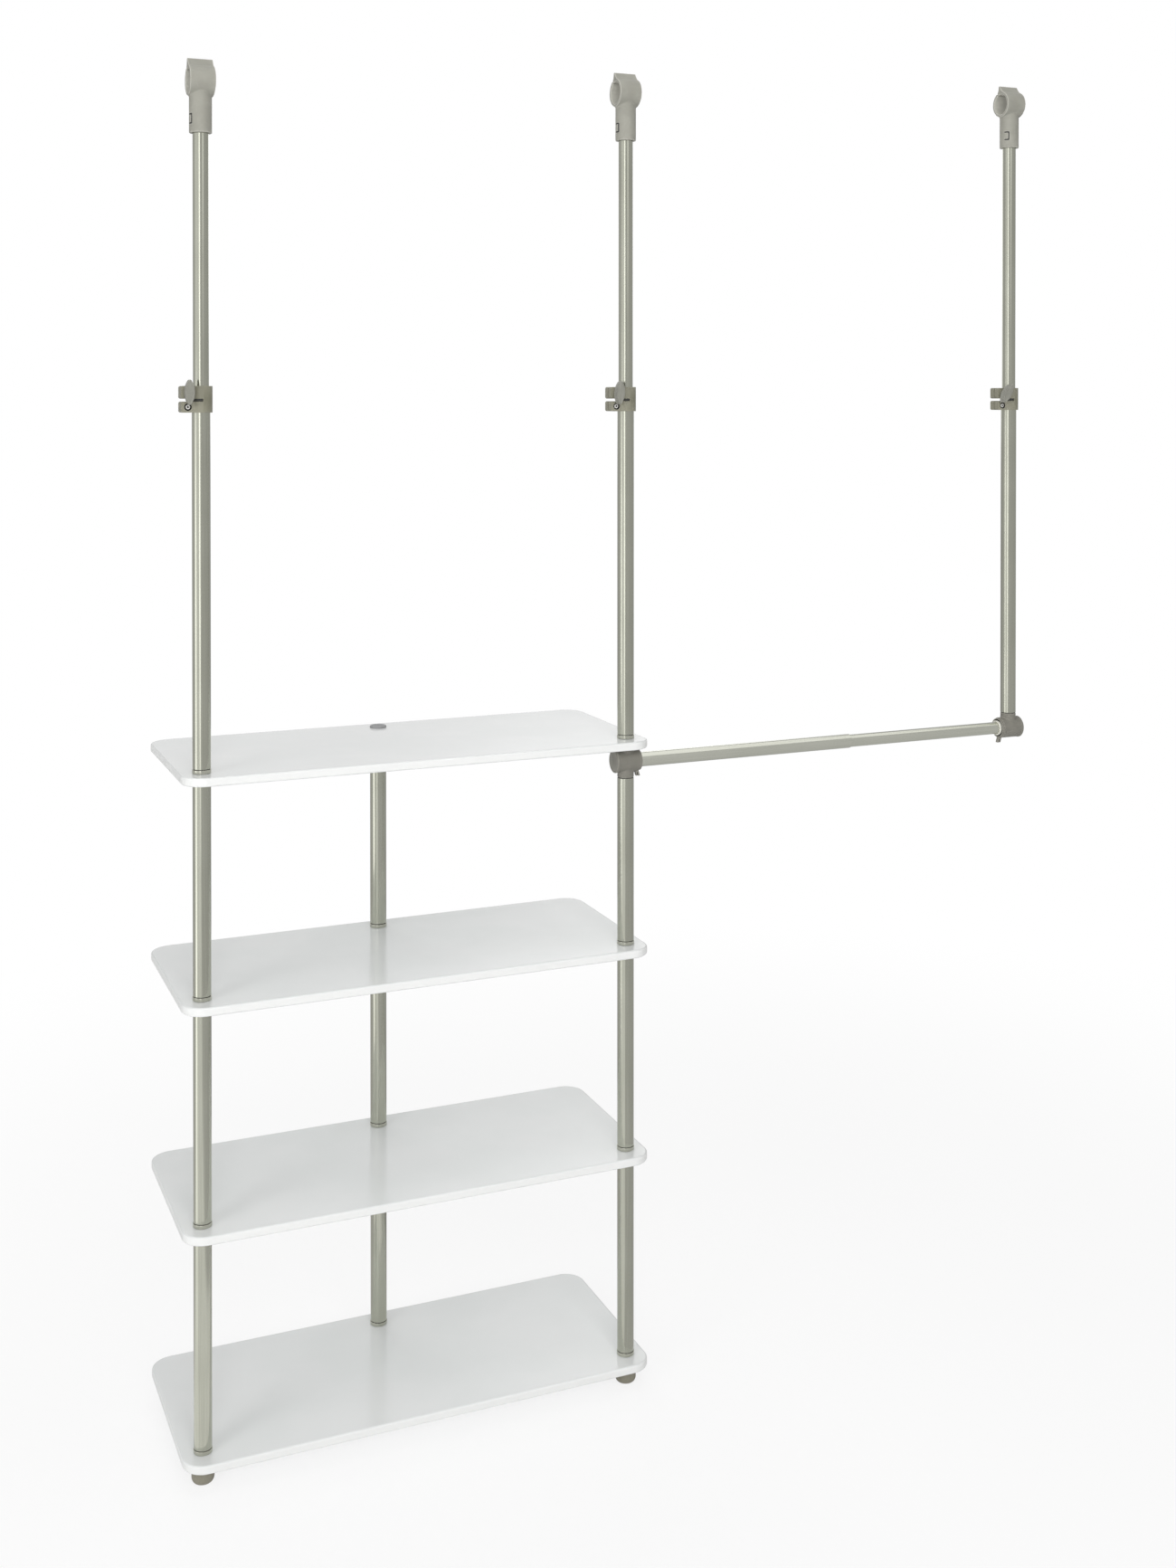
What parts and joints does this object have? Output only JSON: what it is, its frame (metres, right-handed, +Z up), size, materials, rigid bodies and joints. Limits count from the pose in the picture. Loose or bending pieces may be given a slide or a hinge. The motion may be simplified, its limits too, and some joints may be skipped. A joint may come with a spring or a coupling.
{
  "type": "closet organizer",
  "caption": "Shelf tower on three posts with telescoping tubes that clip to a closet rod, and a telescoping hang rod beside it carried by a hanging tube.",
  "frame": {"origin": "centre of the left foot's sole, on the floor and on the left pole's axis", "axes": "+X along the shelves' front to the hang rod, +Y to the rear of the shelves, +Z up the poles"},
  "size_m": [1.414, 0.309, 2.0441],
  "materials": {
    "shelf_white": "white melamine, semi-gloss",
    "tube_nickel": "satin nickel",
    "ferrule_grey": "silver-grey, satin",
    "clip_grey": "pale warm grey, satin",
    "fitting_grey": "warm grey, satin",
    "foot_grey": "dark warm grey, matte",
    "insert_black": "black, matte",
    "screw_zinc": "zinc plated"
  },
  "bodies": {
    "tower": {"shelf_bottom": "shelf_white", "shelf_lower": "shelf_white", "shelf_upper": "shelf_white", "shelf_top": "shelf_white", "left_foot": "foot_grey", "left_joiner_1": "ferrule_grey", "left_post_1": "tube_nickel", "left_insert_1": "insert_black", "left_joiner_2": "ferrule_grey", "left_post_2": "tube_nickel", "left_insert_2": "insert_black", "left_joiner_3": "ferrule_grey", "left_post_3": "tube_nickel", "left_insert_3": "insert_black", "middle_foot": "foot_grey", "middle_joiner_1": "ferrule_grey", "middle_post_1": "tube_nickel", "middle_insert_1": "insert_black", "middle_joiner_2": "ferrule_grey", "middle_post_2": "tube_nickel", "middle_insert_2": "insert_black", "middle_joiner_3": "ferrule_grey", "middle_post_3": "tube_nickel", "rear_foot": "foot_grey", "rear_joiner_1": "ferrule_grey", "rear_post_1": "tube_nickel", "rear_insert_1": "insert_black", "rear_joiner_2": "ferrule_grey", "rear_post_2": "tube_nickel", "rear_insert_2": "insert_black", "rear_joiner_3": "ferrule_grey", "rear_post_3": "tube_nickel", "rear_insert_3": "insert_black", "rear_cap": "ferrule_grey", "left_joiner_4": "ferrule_grey", "middle_joiner_4": "ferrule_grey", "left_upper_tube": "tube_nickel", "left_collar": "fitting_grey", "left_clamp_screw": "screw_zinc", "middle_upper_tube": "tube_nickel", "middle_collar": "fitting_grey", "middle_clamp_screw": "screw_zinc", "rod_tee": "fitting_grey", "hang_rod_outer": "tube_nickel"},
    "left_riser": {"left_inner_tube": "tube_nickel"},
    "middle_riser": {"middle_inner_tube": "tube_nickel"},
    "right_riser": {"right_inner_tube": "tube_nickel"},
    "left_clip": {"left_rod_clip": "clip_grey"},
    "middle_clip": {"middle_rod_clip": "clip_grey"},
    "right_clip": {"right_rod_clip": "clip_grey"},
    "right_drop": {"hang_rod_inner": "tube_nickel", "rod_elbow": "fitting_grey", "rod_bush": "clip_grey", "right_upper_tube": "tube_nickel", "right_collar": "fitting_grey", "right_clamp_screw": "screw_zinc"},
    "left_wing_knob": {"left_knob": "clip_grey"},
    "middle_wing_knob": {"middle_knob": "clip_grey"},
    "right_wing_knob": {"right_knob": "clip_grey"}
  },
  "joints": [
    {"name": "left_riser_slide", "type": "slide", "parent": "tower", "child": "left_riser", "axis": [0, 0, 1], "range_m": [-0.35, 0.075]},
    {"name": "middle_riser_slide", "type": "slide", "parent": "tower", "child": "middle_riser", "axis": [0, 0, 1], "range_m": [-0.376, 0.049]},
    {"name": "right_riser_slide", "type": "slide", "parent": "right_drop", "child": "right_riser", "axis": [0, 0, 1], "range_m": [-0.404, 0.021]},
    {"name": "left_clip_swivel", "type": "hinge", "parent": "left_riser", "child": "left_clip", "pos_m": [0, 0, 1.8861], "axis": [0, 0, 1], "continuous": true},
    {"name": "middle_clip_swivel", "type": "hinge", "parent": "middle_riser", "child": "middle_clip", "pos_m": [0.65, 0, 1.9121], "axis": [0, 0, 1], "continuous": true},
    {"name": "right_clip_swivel", "type": "hinge", "parent": "right_riser", "child": "right_clip", "pos_m": [1.363, 0, 1.9401], "axis": [0, 0, 1], "continuous": true},
    {"name": "hang_rod_slide", "type": "slide", "parent": "tower", "child": "right_drop", "axis": [1, 0, 0], "range_m": [-0.28, 0.04]},
    {"name": "left_knob_turn", "type": "hinge", "parent": "tower", "child": "left_wing_knob", "pos_m": [-0.02, 0, 1.52525], "axis": [0, -1, 0], "range_deg": [0, 270]},
    {"name": "middle_knob_turn", "type": "hinge", "parent": "tower", "child": "middle_wing_knob", "pos_m": [0.63, 0, 1.52525], "axis": [0, -1, 0], "range_deg": [0, 270]},
    {"name": "right_knob_turn", "type": "hinge", "parent": "right_drop", "child": "right_wing_knob", "pos_m": [1.343, 0, 1.52525], "axis": [0, -1, 0], "range_deg": [0, 270]}
  ]
}
